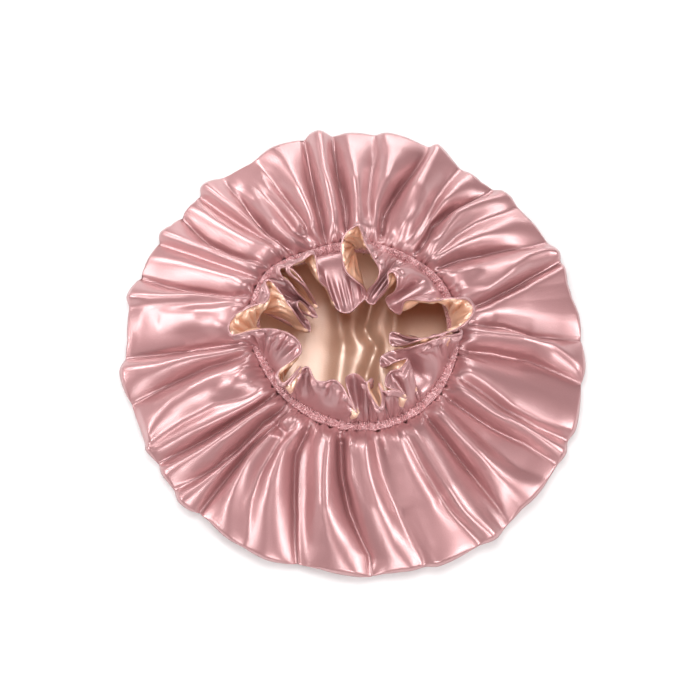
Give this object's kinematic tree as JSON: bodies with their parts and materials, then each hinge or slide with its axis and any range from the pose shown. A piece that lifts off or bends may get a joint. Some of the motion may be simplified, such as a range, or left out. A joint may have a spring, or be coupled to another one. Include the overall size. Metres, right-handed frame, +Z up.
{
  "type": "sleep bonnet",
  "caption": "Reversible two-layer satin sleep bonnet with a gathered elastic casing and a ruffled frill round the head opening, lying on its crown.",
  "frame": {"origin": "on the surface that the bonnet lies on, under the middle of its crown", "axes": "+Z up out of the head opening, +Y away from the viewer of the picture, +X to the right"},
  "size_m": [0.3554, 0.3528, 0.0798],
  "materials": {
    "outer_satin": "dusty pink satin",
    "lining_satin": "champagne satin",
    "casing_satin": "dusty pink satin, shirred over elastic"
  },
  "bodies": {
    "root": {"outer_crown": "outer_satin", "lining_crown": "lining_satin", "elastic_casing": "casing_satin", "outer_frill": "outer_satin", "lining_frill": "lining_satin"}
  },
  "joints": []
}
